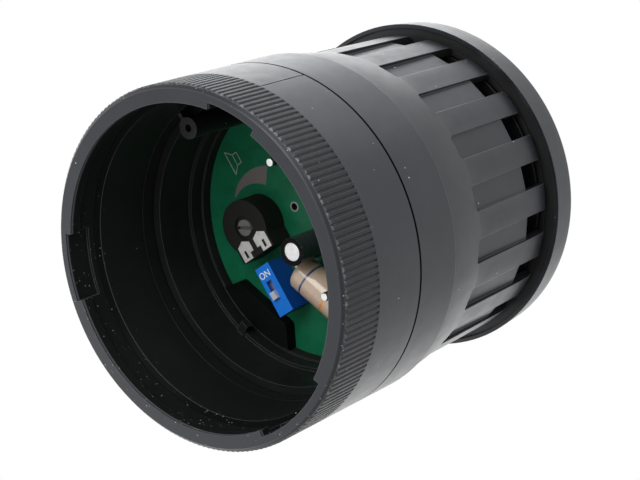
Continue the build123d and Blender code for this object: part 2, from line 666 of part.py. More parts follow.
NODES = [socket_barrel, joint_gasket, louvre_housing, top_cap, board_carrier, board_screws, circuit_board,
         test_eyelet, volume_pot, volume_terminals, volume_rotor, switch_body, switch_slider, switch_pins,
         capacitor_sleeve, capacitor_can, power_resistor, resistor_leads, contact_posts, post_tips,
         contact_block, block_pins, speaker_gasket, speaker_frame, speaker_magnet, speaker_yoke, voice_coil,
         speaker_cone, dust_cap, feed_pins]

os.makedirs("parts", exist_ok=True)
for make in NODES:
    export_step(make(), f"parts/{make.__name__}.step")
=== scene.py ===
"""Looks of the signal tower sounder module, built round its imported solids."""
import json
import math

import bpy
from mathutils import Matrix, Vector


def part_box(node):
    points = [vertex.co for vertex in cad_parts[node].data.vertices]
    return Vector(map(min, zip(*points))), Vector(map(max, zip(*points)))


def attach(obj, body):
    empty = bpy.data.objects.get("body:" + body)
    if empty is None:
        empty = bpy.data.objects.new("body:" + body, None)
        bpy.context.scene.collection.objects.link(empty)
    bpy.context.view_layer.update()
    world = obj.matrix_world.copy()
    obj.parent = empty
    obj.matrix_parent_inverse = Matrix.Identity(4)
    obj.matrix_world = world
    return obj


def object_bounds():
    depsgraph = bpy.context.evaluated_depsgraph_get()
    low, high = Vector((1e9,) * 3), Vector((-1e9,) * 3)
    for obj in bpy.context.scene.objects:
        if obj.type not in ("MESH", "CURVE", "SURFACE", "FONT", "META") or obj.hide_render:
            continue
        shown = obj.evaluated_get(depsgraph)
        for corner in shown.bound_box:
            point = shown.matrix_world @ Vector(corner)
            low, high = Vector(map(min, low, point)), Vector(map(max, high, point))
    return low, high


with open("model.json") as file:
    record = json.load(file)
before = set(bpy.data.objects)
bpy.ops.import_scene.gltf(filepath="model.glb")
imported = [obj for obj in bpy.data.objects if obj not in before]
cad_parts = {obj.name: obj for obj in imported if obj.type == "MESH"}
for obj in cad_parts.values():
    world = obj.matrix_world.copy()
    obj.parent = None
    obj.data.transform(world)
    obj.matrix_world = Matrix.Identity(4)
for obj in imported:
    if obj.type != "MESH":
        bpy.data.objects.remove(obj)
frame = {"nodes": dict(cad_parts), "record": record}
CAD_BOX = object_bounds()
NODES = frame["nodes"]
MM = 0.001

# Camera: where it stands, where it looks and which way is up in the picture.
CAMERA_AT = Vector((62.10, -212.37, -217.62)) * MM
CAMERA_FORWARD = Vector((-0.17543, 0.63259, 0.75436))
CAMERA_UP = Vector((-0.82309, -0.51464, 0.24014))
CAMERA_LENS = 94.92
CAMERA_SENSOR = 36.0
CAMERA_CLIP = (0.01, 20.0)

# The board's component face, and the layout that its parts and print stand on, in millimetres.
BOARD_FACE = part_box("circuit_board")[0].z
LAYOUT_TURN = math.radians(6.3)
POT_AT = Vector((-6.74, 11.88))
SWITCH_AT = Vector((7.09, 13.00))
RESISTOR_TURN = math.radians(-25.0)
INK_LIFT = 0.02 * MM

SHARP_ANGLE = math.radians(24)
PLASTIC_IOR = 1.5
PLAIN_SHINE = 0.5             # specular level of plain plastic
ROUGH_SPREAD = (-0.06, 0.08)  # how far a moulding's roughness strays from its own value


# --- material helpers ---------------------------------------------------------------------------

class Paint:
    """One node material, put together from small procedural steps."""

    def __init__(self, name, colour, roughness, metallic=0.0, coat=0.0):
        self.material = bpy.data.materials.new(name)
        self.material.use_nodes = True
        self.tree = self.material.node_tree
        self.shader = self.tree.nodes["Principled BSDF"]
        self.shader.inputs["Base Color"].default_value = (*colour, 1.0)
        self.shader.inputs["Roughness"].default_value = roughness
        self.shader.inputs["Metallic"].default_value = metallic
        self.shader.inputs["IOR"].default_value = PLASTIC_IOR
        self.shader.inputs["Coat Weight"].default_value = coat
        self.colour = None
        self.plain_colour = (*colour, 1.0)
        self.soft_normal = None
        self.place = self.node("ShaderNodeTexCoord").outputs["Object"]

    def node(self, kind, **settings):
        """A new node of that kind."""
        made = self.tree.nodes.new(kind)
        for key, value in settings.items():
            setattr(made, key, value)
        return made

    def join(self, source, target):
        """A link between two sockets."""
        self.tree.links.new(source, target)

    def noise(self, size, detail=3.0, place=None):
        """Noise whose lumps are about size metres across."""
        made = self.node("ShaderNodeTexNoise")
        made.inputs["Scale"].default_value = 1.0 / size
        made.inputs["Detail"].default_value = detail
        self.join(place or self.place, made.inputs["Vector"])
        return made.outputs["Fac"]

    def ramp(self, source, low, high, start=0.0, end=1.0):
        """Maps source from low..high to start..end, and holds it there outside."""
        made = self.node("ShaderNodeMapRange", clamp=True)
        made.inputs["From Min"].default_value = low
        made.inputs["From Max"].default_value = high
        made.inputs["To Min"].default_value = start
        made.inputs["To Max"].default_value = end
        self.join(source, made.inputs["Value"])
        return made.outputs["Result"]

    def maths(self, operation, first, second=None):
        """A Math node on sockets or numbers."""
        made = self.node("ShaderNodeMath", operation=operation)
        for socket, value in zip(made.inputs, (first, second)):
            if isinstance(value, (int, float)):
                socket.default_value = value
            elif value is not None:
                self.join(value, socket)
        return made.outputs["Value"]

    def both(self, first, second):
        """Product of two masks, or of a mask and a share."""
        return self.maths("MULTIPLY", first, second)

    def either(self, first, second):
        """The larger of two masks."""
        return self.maths("MAXIMUM", first, second)

    def outside(self, mask):
        """1 where mask is 0."""
        return self.maths("SUBTRACT", 1.0, mask)

    def above(self, value, limit, soft=0.03 * MM):
        """1 where value is over limit, fading over soft metres on either side."""
        return self.ramp(value, limit - soft, limit + soft)

    def below(self, value, limit, soft=0.03 * MM):
        """1 where value is under limit, fading over soft metres on either side."""
        return self.ramp(value, limit + soft, limit - soft)

    def band(self, value, low, high, soft=0.03 * MM):
        """1 where value lies between low and high."""
        return self.both(self.above(value, low, soft), self.below(value, high, soft))

    def axis(self, name, place=None):
        """One coordinate of the surface point, in metres."""
        made = self.node("ShaderNodeSeparateXYZ")
        self.join(place or self.place, made.inputs["Vector"])
        return made.outputs[name]

    def radius(self):
        """Distance from the tower axis, in metres."""
        squares = [self.maths("POWER", self.axis(name), 2.0) for name in ("X", "Y")]
        return self.maths("SQRT", self.maths("ADD", *squares))

    def stretched(self, scale, turn=0.0, shift=(0.0, 0.0, 0.0)):
        """Object coordinates moved, turned about Z and then scaled."""
        made = self.node("ShaderNodeMapping", vector_type="TEXTURE")
        made.inputs["Location"].default_value = shift
        made.inputs["Rotation"].default_value = (0.0, 0.0, turn)
        made.inputs["Scale"].default_value = scale
        self.join(self.place, made.inputs["Vector"])
        return made.outputs["Vector"]

    def beside(self, node_name, turn):
        """Coordinates from the middle of a CAD node, turned about Z."""
        low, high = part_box(node_name)
        return self.stretched((1.0, 1.0, 1.0), turn, tuple((low + high) / 2))

    def specks(self, cell, share, size):
        """Small round specks: share of the cells hold one, each size metres in radius or less."""
        made = self.node("ShaderNodeTexVoronoi", feature="F1")
        made.inputs["Scale"].default_value = 1.0 / cell
        self.join(self.place, made.inputs["Vector"])
        pick = self.node("ShaderNodeSeparateColor")
        self.join(made.outputs["Color"], pick.inputs["Color"])
        chosen = self.ramp(pick.outputs["Red"], 1.0 - share, 1.0 - share * 0.8)
        reach = self.maths("MULTIPLY", pick.outputs["Green"], size / cell)
        dot = self.maths("SUBTRACT", reach, made.outputs["Distance"])
        return self.both(self.ramp(dot, 0.0, 0.25 * size / cell), chosen)

    def blend(self, mask, colour):
        """Lays a colour over what is there, where mask is 1."""
        made = self.node("ShaderNodeMix", data_type="RGBA")
        if self.colour is None:
            made.inputs["A"].default_value = self.plain_colour
        else:
            self.join(self.colour, made.inputs["A"])
        made.inputs["B"].default_value = (*colour, 1.0)
        self.join(mask, made.inputs["Factor"])
        self.colour = made.outputs["Result"]
        self.join(self.colour, self.shader.inputs["Base Color"])

    def shine(self, mask, low, high, dull=None):
        """Specular level from low where mask is 0 to high where it is 1, and none where dull is 1."""
        level = self.ramp(mask, 0.0, 1.0, low, high)
        if dull:
            level = self.both(level, self.outside(dull))
        self.join(level, self.shader.inputs["Specular IOR Level"])

    def rough(self, mask, low, high):
        """Roughness from low where mask is 0 to high where it is 1."""
        self.join(self.ramp(mask, 0.0, 1.0, low, high), self.shader.inputs["Roughness"])

    def rougher(self, mask, more):
        """Adds more to the roughness that is there, where mask is 1."""
        socket = self.shader.inputs["Roughness"]
        present = socket.links[0].from_socket
        self.join(self.maths("ADD", present, self.both(mask, more)), socket)

    def soften(self, edge):
        """Rounds the edges by edge metres."""
        made = self.node("ShaderNodeBevel", samples=6)
        made.inputs["Radius"].default_value = edge
        self.soft_normal = made.outputs["Normal"]

    def edge_lines(self, colour, amount, where=None):
        """Painted highlights: thin paler lines along the rounded edges."""
        plain = self.node("ShaderNodeNewGeometry")
        match = self.node("ShaderNodeVectorMath", operation="DOT_PRODUCT")
        self.join(self.soft_normal, match.inputs[0])
        self.join(plain.outputs["Normal"], match.inputs[1])
        lines = self.ramp(match.outputs["Value"], 0.985, 0.88, 0.0, amount)
        self.blend(self.both(lines, where) if where else lines, colour)

    def facing_rim(self):
        """1 on faces that look toward the open rim, 0 on the sides."""
        plain = self.node("ShaderNodeNewGeometry")
        split = self.node("ShaderNodeSeparateXYZ")
        self.join(plain.outputs["Normal"], split.inputs["Vector"])
        return self.ramp(split.outputs["Z"], -0.6, -0.9)

    def relief(self, height, depth):
        """Bump of that depth in metres, over the rounded edges."""
        made = self.node("ShaderNodeBump")
        made.inputs["Distance"].default_value = depth
        self.join(height, made.inputs["Height"])
        if self.soft_normal:
            self.join(self.soft_normal, made.inputs["Normal"])
        self.join(made.outputs["Normal"], self.shader.inputs["Normal"])


def moulded(name, colour, roughness, edge, grain=0.35 * MM, depth=0.006 * MM,
            mottle=0.25, dust=0.0, shine=PLAIN_SHINE):
    """Moulded plastic: faint cloudiness, fine grain, soft edges and a share of dust."""
    paint = Paint(name, colour, roughness)
    paint.shader.inputs["Specular IOR Level"].default_value = shine
    paint.soften(edge)
    cloud = paint.noise(9 * MM, 4.0)
    paler = tuple(min(1.0, c * (1.0 + mottle) + 0.002) for c in colour)
    paint.blend(paint.ramp(cloud, 0.35, 0.7), paler)
    darker = tuple(c * (1.0 - mottle) for c in colour)
    paint.blend(paint.ramp(paint.noise(2.2 * MM), 0.5, 0.8, 0.0, 0.6), darker)
    if dust:
        paint.blend(paint.specks(1.6 * MM, dust, 0.16 * MM), DUST)
    smoothest, roughest = (roughness + stray for stray in ROUGH_SPREAD)
    paint.rough(paint.noise(3 * MM, 4.0), smoothest, roughest)
    paint.relief(paint.noise(grain, 4.0), depth)
    return paint


def metal(name, colour, roughness, edge, brush=None, metallic=1.0):
    """Plated or bare metal with fine handling marks. brush stretches its grain."""
    paint = Paint(name, colour, roughness, metallic=metallic)
    paint.soften(edge)
    darker = tuple(c * 0.72 for c in colour)
    paint.blend(paint.ramp(paint.noise(1.1 * MM, 5.0), 0.45, 0.75, 0.0, 0.7), darker)
    paint.rough(paint.noise(0.6 * MM, 5.0), roughness - 0.05, roughness + 0.15)
    grain = paint.noise(1.0, 3.0, paint.stretched(brush)) if brush else paint.noise(0.25 * MM, 4.0)
    paint.relief(grain, 0.004 * MM)
    return paint


# --- the materials of the outer parts -----------------------------------------------------------

SHELL_GREY = (0.0090, 0.0101, 0.0130)
SHELL_TINT = (0.93, 0.96, 1.0, 1.0)
SHELL_ROUGHNESS = 0.36
SOCKET_SHINE = 0.16
CAGE_SHINE = 0.05
SKIRT_SHINE = 0.45
SLOPE_DULLNESS = 0.85
KNURL_DULLNESS = 0.32
KNURL_ROUGHER = 0.06
# The land's edge and the rim's chamfer carry painted shade, the channel's crest a painted highlight; the
# next line says how strongly each covers.
STEP_TONE, RIDGE_TONE, BEVEL_TONE = 0.4, 0.7, 0.8  # how strongly these tones cover
INSIDE_BLACK = (0.0096, 0.0106, 0.0099)
SHADOW_BLACK = (0.0015, 0.0016, 0.0016)
# Painted shade on the channel's sloped face and the land's edge inside the socket.
SLOPE_PAINTED_SHADE = (0.0030, 0.0034, 0.0032)
# Painted shade along the rim's outer chamfer.
BEVEL_PAINTED_SHADE = (0.0035, 0.0035, 0.0042)
# Painted shade under the cap and behind the slots: a dull tone, paler than the shell's colour, that
# stands for the shade there.
UNDER_CAP_PAINTED_SHADE = (0.0180, 0.0180, 0.0172)
# Painted shade on the underside of the cap's skirt.
UNDER_SKIRT_PAINTED_SHADE = (0.0170, 0.0170, 0.0170)
# Painted shade in the chamber seen through the slots.
CHAMBER_PAINTED_SHADE = (0.006, 0.006, 0.006)
# On the knurl: rib tips painted darker as shade, grooves painted paler as light against their
# self-shadow.
RIB_TIP_PAINTED_SHADE = (0.0055, 0.0055, 0.0065)
RIB_GROOVE_PAINTED_LIGHT = (0.024, 0.024, 0.027)
# Painted light on the faces of the carrier's screw bosses.
BOSS_PAINTED_LIGHT = (0.03, 0.03, 0.032)
SCUFF_GREY = (0.075, 0.075, 0.08)
# Painted highlights: pale lines along the edges, round the lip and at the collar's edge.
EDGE_HIGHLIGHT_GREY = (0.10, 0.10, 0.11)
PALE_EDGE_HIGHLIGHT_GREY = (0.11, 0.11, 0.12)
# Painted highlight along the channel's crest inside the socket.
RIDGE_HIGHLIGHT_GREY = (0.12, 0.12, 0.13)
# Dust and a painted highlight on the ends of the ribs.
RIB_END_DUST_AND_HIGHLIGHT = (0.15, 0.15, 0.16)
DUST = (0.55, 0.55, 0.54)
RIM_DUST = (0.30, 0.30, 0.30)
SETTLED_DUST = (0.38, 0.38, 0.37)

# Where the barrel's details lie: heights over the rim face, and radii.
SOCKET_R = 32.90 * MM
RIM_FACE = (0.15 * MM, 0.30 * MM)
RIM_BEVEL = (0.10 * MM, 0.55 * MM)
RIM_BEVEL_R = 34.10 * MM
LIP_EDGE = (0.25 * MM, 0.70 * MM)
RIB_ENDS = (0.55 * MM, 0.95 * MM)
RIB_END_R = 34.74 * MM
KNURL_TOP = 10.40 * MM
KNURL_FOOT_R = 34.30 * MM
RIB_GROOVE_R = 34.85 * MM
RIB_TIP_R = 34.91 * MM
CHANNEL = (6.80 * MM, 8.10 * MM)
CHANNEL_SLOPE = (7.05 * MM, 7.88 * MM)
CHANNEL_RIDGE = (7.90 * MM, 8.02 * MM)
DEEP_WALL = 13.0 * MM
LAND_STEP = (19.90 * MM, 20.25 * MM)
BARREL_SEAM = 22.83 * MM

# Where the details of the housing, the cap and the carrier lie.
HOUSING_SEAM = 23.41 * MM
COLLAR_EDGE = (34.58 * MM, 34.80 * MM)
COLLAR_EDGE_R = 34.40 * MM
CAGE_WALL_R = 32.175 * MM
CAGE_TOP = 72.0 * MM
CHAMBER_R = 31.05 * MM
SKIRT_UNDERSIDE = 73.5 * MM
SKIRT_R = 34.35 * MM
BOSS_FACE = 20.175 * MM

# Dust: how high it reaches over the rim face, and where and toward which side, in X and Y, it settled.
RIM_DUST_TOP, RIM_DUST_R = 2.0 * MM, 34.2 * MM
SETTLED_TOP = 8.0 * MM
SETTLED_SIDE, SETTLED_FROM = (0.34, 0.94), 11.0 * MM


def shell(name, edge):
    """The satin dark grey plastic of the outer parts."""
    paint = moulded(name, SHELL_GREY, SHELL_ROUGHNESS, edge)
    paint.shader.inputs["Specular Tint"].default_value = SHELL_TINT
    return paint


def socket_tones(paint, z, within, knurl):
    """Nearly black, smoother socket wall, painted shade on the channel's sloped face and the land's edge,
    painted shadow in the seam, and a painted highlight round the lip.
    """
    paint.blend(within, INSIDE_BLACK)
    # Painted shade on the land's edge and the channel's sloped face.
    step_shade = paint.both(paint.band(z, *LAND_STEP), STEP_TONE)
    slope_shade = paint.both(within, paint.either(paint.band(z, *CHANNEL_SLOPE), step_shade))
    paint.blend(slope_shade, SLOPE_PAINTED_SHADE)
    seam = paint.above(z, BARREL_SEAM)
    paint.blend(seam, SHADOW_BLACK)
    matt = paint.either(paint.both(slope_shade, SLOPE_DULLNESS), paint.both(knurl, KNURL_DULLNESS))
    paint.shine(within, PLAIN_SHINE, SOCKET_SHINE, paint.either(seam, matt))
    # Painted highlight round the lip's inner edge.
    lip_highlight = paint.both(within, paint.band(z, *LIP_EDGE, 0.1 * MM))
    paint.blend(lip_highlight, PALE_EDGE_HIGHLIGHT_GREY)


def knurl_tones(paint, radius, knurl):
    """Rib tips painted darker as shade, grooves painted paler as light against their self-shadow, and
    scuffs in patches.
    """
    # Rib tips painted darker as shade, grooves painted paler as light.
    paint.blend(paint.both(knurl, paint.above(radius, RIB_TIP_R, 0.06 * MM)), RIB_TIP_PAINTED_SHADE)
    paint.blend(paint.both(knurl, paint.below(radius, RIB_GROOVE_R, 0.10 * MM)), RIB_GROOVE_PAINTED_LIGHT)
    fine_mottle = paint.ramp(paint.noise(0.45 * MM, 5.0), 0.56, 0.74)
    patch = paint.ramp(paint.noise(7 * MM, 2.0), 0.35, 0.7)
    paint.blend(paint.both(paint.both(fine_mottle, patch), knurl), SCUFF_GREY)


def barrel_edges(paint, z, radius, within):
    """Painted highlights along the edges and on the channel's crest, dust specks, painted shade on the
    rim's outer chamfer, and dust with a painted highlight on the ends of the ribs.
    """
    smooth = paint.either(paint.above(z, DEEP_WALL, 1 * MM), paint.band(z, *CHANNEL))
    # Painted highlights along the edges, except on the smooth walls deep in the socket and in the
    # channel.
    paint.edge_lines(EDGE_HIGHLIGHT_GREY, 0.7, paint.outside(paint.both(within, smooth)))
    # Painted highlight along the channel's crest.
    ridge_highlight = paint.both(within, paint.band(z, *CHANNEL_RIDGE))
    paint.blend(paint.both(ridge_highlight, RIDGE_TONE), RIDGE_HIGHLIGHT_GREY)
    paint.blend(paint.specks(1.5 * MM, 0.2, 0.16 * MM), DUST)
    # Painted shade along the rim's outer chamfer.
    bevel_shade = paint.both(paint.band(z, *RIM_BEVEL), paint.above(radius, RIM_BEVEL_R, 0.1 * MM))
    paint.blend(paint.both(bevel_shade, BEVEL_TONE), BEVEL_PAINTED_SHADE)
    # Dust and a painted highlight on the ends of the ribs.
    rib_ends = paint.both(paint.band(z, *RIB_ENDS), paint.above(radius, RIB_END_R, 0.04 * MM))
    dotted = paint.ramp(paint.noise(1.5 * MM, 2.0), 0.42, 0.66)
    paint.blend(paint.both(rib_ends, dotted), RIB_END_DUST_AND_HIGHLIGHT)


def barrel_dust(paint, z, radius):
    """Dust on the rim's corner, and clumps of it that settled on one side of the socket."""
    near_rim = paint.both(paint.below(z, RIM_DUST_TOP, 1 * MM), paint.specks(0.6 * MM, 0.35, 0.16 * MM))
    paint.blend(paint.both(near_rim, paint.above(radius, RIM_DUST_R, 0.2 * MM)), RIM_DUST)
    settled = paint.both(paint.below(z, SETTLED_TOP, 3 * MM), paint.specks(0.55 * MM, 0.4, 0.15 * MM))
    clumps = paint.ramp(paint.noise(5 * MM, 2.0), 0.38, 0.50)
    parts = [paint.both(paint.axis(name), share) for name, share in zip("XY", SETTLED_SIDE)]
    one_side = paint.above(paint.maths("ADD", *parts), SETTLED_FROM, 9 * MM)
    paint.blend(paint.both(paint.both(settled, clumps), one_side), SETTLED_DUST)


def barrel_paint():
    """Satin dark grey outside, duller in the knurl, with a dusty, nearly black inside."""
    paint = shell("barrel_plastic", 0.22 * MM)
    z, radius = paint.axis("Z"), paint.radius()
    within = paint.both(paint.below(radius, SOCKET_R, 0.05 * MM), paint.ramp(z, *RIM_FACE))
    knurl = paint.both(paint.below(z, KNURL_TOP, 0.1 * MM), paint.above(radius, KNURL_FOOT_R, 0.1 * MM))
    paint.rougher(knurl, KNURL_ROUGHER)
    socket_tones(paint, z, within, knurl)
    knurl_tones(paint, radius, knurl)
    barrel_edges(paint, z, radius, within)
    barrel_dust(paint, z, radius)
    return paint


def housing_paint():
    """Satin dark grey with painted highlights along its edges and at the collar's edge, painted shade
    behind the slots and in the chamber, and painted shadow at the seam.
    """
    paint = shell("housing_plastic", 0.26 * MM)
    z, radius = paint.axis("Z"), paint.radius()
    # Painted highlights along the edges and at the collar's edge.
    paint.edge_lines(PALE_EDGE_HIGHLIGHT_GREY, 0.85)
    collar_highlight = paint.both(paint.band(z, *COLLAR_EDGE), paint.above(radius, COLLAR_EDGE_R, 0.1 * MM))
    paint.blend(collar_highlight, EDGE_HIGHLIGHT_GREY)
    # Painted shade under the cap and behind the slots.
    under_cap_shade = paint.either(paint.below(radius, CAGE_WALL_R, 0.125 * MM),
                             paint.above(z, CAGE_TOP, 0.4 * MM))
    paint.blend(under_cap_shade, UNDER_CAP_PAINTED_SHADE)
    # Painted shade in the chamber.
    paint.blend(paint.below(radius, CHAMBER_R, 0.15 * MM), CHAMBER_PAINTED_SHADE)
    seam = paint.below(z, HOUSING_SEAM)
    paint.blend(seam, SHADOW_BLACK)
    paint.shine(paint.either(under_cap_shade, seam), PLAIN_SHINE, CAGE_SHINE)
    paint.blend(paint.specks(2.0 * MM, 0.2, 0.17 * MM), DUST)
    return paint


def cap_paint():
    """The housing's plastic, with painted highlights along its edges, and painted shade under the skirt
    and in the chamber.
    """
    paint = shell("cap_plastic", 0.18 * MM)
    z, radius = paint.axis("Z"), paint.radius()
    # Painted highlights along the edges.
    paint.edge_lines(EDGE_HIGHLIGHT_GREY, 0.7)
    # Painted shade under the skirt.
    under = paint.both(paint.below(z, SKIRT_UNDERSIDE, 0.1 * MM), paint.below(radius, SKIRT_R, 0.05 * MM))
    paint.blend(under, UNDER_SKIRT_PAINTED_SHADE)
    # Painted shade in the chamber under the cap.
    paint.blend(paint.both(under, paint.below(radius, CHAMBER_R, 0.15 * MM)), CHAMBER_PAINTED_SHADE)
    paint.shine(under, PLAIN_SHINE, SKIRT_SHINE)
    paint.blend(paint.specks(2.4 * MM, 0.12, 0.15 * MM), DUST)
    return paint


def carrier_paint():
    """Near-black moulding with painted highlights along its edges and steps, and painted light on the
    faces of the screw bosses.
    """
    paint = moulded("carrier_plastic", INSIDE_BLACK, 0.32, 0.15 * MM, dust=0.05)
    # Painted light on the faces of the screw bosses.
    bosses = paint.below(paint.axis("Z"), BOSS_FACE, 0.075 * MM)
    paint.shine(bosses, 0.12, 0.6)
    paint.blend(bosses, BOSS_PAINTED_LIGHT)
    # Painted highlights along the edges and steps.
    paint.edge_lines(PALE_EDGE_HIGHLIGHT_GREY, 0.7)
    return paint


# --- the materials on the board -----------------------------------------------------------------

MASK_GREEN = (0.005, 0.120, 0.052)
COPPER_GREEN = (0.008, 0.160, 0.074)
CLOUD_GREEN = (0.003, 0.075, 0.03)
WEAVE_SCALE = 0.32 / MM
RESISTOR_TAN = (0.56, 0.42, 0.31)
RESISTOR_BROWN = (0.54, 0.41, 0.29)
# Bands of the resistor: place along its axis and width in millimetres, and colour.
RESISTOR_BANDS = (
    (-4.6, 0.42, (0.035, 0.075, 0.20)),
    (1.2, 0.50, (0.72, 0.28, 0.06)),
    (4.3, 0.50, (0.10, 0.06, 0.02)),
)
SWITCH_BLUE = (0.008, 0.18, 0.70)
# Painted shade on the switch's sides.
SWITCH_SIDE_SHADE_BLUE = (0.004, 0.062, 0.30)
SWITCH_SLOT_GREY = (0.20, 0.20, 0.34)
SWITCH_SLOT_X = (-2.2 * MM, 2.2 * MM)
SWITCH_SLOT_Y = (-0.7 * MM, 1.1 * MM)
SWITCH_SLOT_DEPTH = (0.5 * MM, 1.1 * MM)
SLEEVE_BLACK = (0.032, 0.034, 0.039)
# Painted shade on the sleeve's front ring.
SLEEVE_RING_PAINTED_SHADE = (0.0022, 0.0024, 0.0024)
# Painted highlight along the sleeve's edges, broken up.
SLEEVE_EDGE_HIGHLIGHT = (0.30, 0.30, 0.30)
TIN = (0.86, 0.85, 0.82)
DIM_TIN = (0.40, 0.40, 0.38)
# Painted shade in the eyelet's bore.
BORE_PAINTED_SHADE = (0.05, 0.05, 0.05)
# Heights of the eyelet's ring and of its bore, from the board's component face.
RING_FROM = (-0.5 * MM, -0.4 * MM)
BORE_FROM = (-0.05 * MM, 0.1 * MM)


def board_paint():
    """Green solder mask with a faint weave and paler copper areas under it."""
    paint = Paint("board_laminate", MASK_GREEN, 0.34)
    paint.shader.inputs["Specular IOR Level"].default_value = 0.3
    paint.soften(0.05 * MM)
    traces = paint.ramp(paint.noise(5 * MM, 2.0), 0.42, 0.52)
    paint.blend(paint.both(traces, 0.5), COPPER_GREEN)
    paint.blend(paint.ramp(paint.noise(0.8 * MM, 4.0), 0.5, 0.8, 0.0, 0.3), CLOUD_GREEN)
    threads = []
    for direction in ("X", "Y"):
        wave = paint.node("ShaderNodeTexWave", bands_direction=direction)
        wave.inputs["Scale"].default_value = WEAVE_SCALE
        paint.join(paint.place, wave.inputs["Vector"])
        threads.append(wave.outputs["Fac"])
    paint.rough(paint.noise(2 * MM), 0.26, 0.42)
    paint.relief(paint.maths("ADD", *threads), 0.004 * MM)
    return paint


def resistor_paint():
    """Glazed tan body with bands round its axis."""
    paint = Paint("resistor_coat", RESISTOR_TAN, 0.28, coat=0.7)
    paint.soften(0.1 * MM)
    along = paint.axis("X", paint.beside("power_resistor", LAYOUT_TURN + RESISTOR_TURN))
    paint.blend(paint.ramp(paint.noise(2 * MM, 3.0), 0.4, 0.75, 0.0, 0.7), RESISTOR_BROWN)
    for at, width, colour in RESISTOR_BANDS:
        off = paint.maths("ABSOLUTE", paint.maths("SUBTRACT", along, at * MM))
        paint.blend(paint.ramp(off, width * MM * 0.5, width * MM * 0.6, 1.0, 0.0), colour)
    paint.rough(paint.noise(1.5 * MM, 4.0), 0.2, 0.36)
    paint.relief(paint.noise(1.2 * MM, 3.0), 0.02 * MM)
    return paint


def switch_paint():
    """Blue switch body with its sides painted darker as shade, and a paler floor in its slot."""
    paint = moulded("switch_blue", SWITCH_BLUE, 0.36, 0.08 * MM, mottle=0.1, shine=0.4)
    place = paint.beside("switch_body", LAYOUT_TURN)
    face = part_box("switch_body")[0].z
    slot = paint.both(paint.band(paint.axis("X", place), *SWITCH_SLOT_X),
                      paint.band(paint.axis("Y", place), *SWITCH_SLOT_Y))
    depth = paint.ramp(paint.axis("Z"), *(face + deep for deep in SWITCH_SLOT_DEPTH))
    # Painted shade: the sides darker.
    paint.blend(paint.outside(paint.facing_rim()), SWITCH_SIDE_SHADE_BLUE)
    paint.blend(paint.both(slot, depth), SWITCH_SLOT_GREY)
    return paint


def sleeve_paint():
    """Glossy black shrink sleeve, its dull front ring painted darker as shade, with a broken painted
    highlight along its edges.
    """
    paint = moulded("sleeve_plastic", SLEEVE_BLACK, 0.2, 0.1 * MM)
    # Painted shade on the front ring.
    front = paint.facing_rim()
    paint.blend(front, SLEEVE_RING_PAINTED_SHADE)
    paint.shine(front, 0.4, 0.06)
    # Painted highlight along the edges, broken up by noise.
    fine_mottle = paint.ramp(paint.noise(0.5 * MM, 3.0), 0.50, 0.62)
    paint.edge_lines(SLEEVE_EDGE_HIGHLIGHT, 0.8, fine_mottle)
    return paint


def tin_paint():
    """Tinned metal, dimmer on the eyelet's ring, with painted shade in its bore."""
    paint = metal("tin_plate", TIN, 0.36, 0.05 * MM, metallic=0.6)
    z = paint.axis("Z")
    paint.blend(paint.ramp(z, *(BOARD_FACE + height for height in RING_FROM)), DIM_TIN)
    # Painted shade in the eyelet's bore.
    paint.blend(paint.ramp(z, *(BOARD_FACE + height for height in BORE_FROM)), BORE_PAINTED_SHADE)
    return paint


def board_parts_paints():
    """Materials of the parts on the board, by slot."""
    pot = moulded("pot_plastic", (0.009, 0.009, 0.008), 0.5, 0.08 * MM, dust=0.04, shine=0.2)
    block = moulded("block_plastic", (0.0025, 0.0035, 0.0033), 0.5, 0.15 * MM, shine=0.08)
    return {
        "pot_plastic": pot,
        "rotor_plastic": moulded("rotor_plastic", (0.12, 0.12, 0.11), 0.45, 0.2 * MM, shine=0.3),
        "switch_blue": switch_paint(),
        "slider_grey": moulded("slider_grey", (0.48, 0.52, 0.60), 0.45, 0.08 * MM, mottle=0.08),
        "sleeve_plastic": sleeve_paint(),
        "can_aluminium": metal("can_aluminium", (0.95, 0.95, 0.96), 0.42, 0.08 * MM, metallic=0.45),
        "post_plastic": moulded("post_plastic", (0.01, 0.01, 0.01), 0.4, 0.1 * MM, shine=0.3),
        "contact_metal": metal("contact_metal", (0.92, 0.92, 0.90), 0.3, 0.08 * MM),
        "tin_plate": tin_paint(),
        "block_plastic": block,
    }


def hidden_parts_paints():
    """Materials of the pieces that the closed housing hides, by slot."""
    wound, rolled = (4 * MM, 4 * MM, 0.12 * MM), (2 * MM, 2 * MM, 0.2 * MM)
    return {
        "feed_brass": metal("feed_brass", (0.75, 0.55, 0.22), 0.3, 0.05 * MM),
        "coil_copper": metal("coil_copper", (0.72, 0.33, 0.17), 0.35, 0.03 * MM, wound),
        "screw_steel": metal("screw_steel", (0.56, 0.56, 0.58), 0.32, 0.06 * MM),
        "yoke_steel": metal("yoke_steel", (0.50, 0.50, 0.52), 0.36, 0.1 * MM, rolled),
        "seal_rubber": moulded("seal_rubber", (0.008, 0.008, 0.008), 0.75, 0.05 * MM),
        "foam_rubber": moulded("foam_rubber", (0.02, 0.02, 0.02), 0.9, 0.1 * MM,
                               grain=0.5 * MM, depth=0.08 * MM, mottle=0.4),
        "basket_steel": moulded("basket_steel", (0.008, 0.008, 0.009), 0.5, 0.2 * MM, shine=0.1),
        "magnet_ferrite": moulded("magnet_ferrite", (0.06, 0.06, 0.06), 0.6, 0.2 * MM,
                                  grain=0.4 * MM, depth=0.03 * MM, mottle=0.3),
        "cone_fibre": moulded("cone_fibre", (0.04, 0.04, 0.04), 0.85, 0.05 * MM,
                              grain=0.5 * MM, depth=0.04 * MM, mottle=0.4),
        "dome_fibre": moulded("dome_fibre", (0.025, 0.025, 0.025), 0.7, 0.05 * MM,
                              grain=0.4 * MM, depth=0.03 * MM, mottle=0.3),
    }


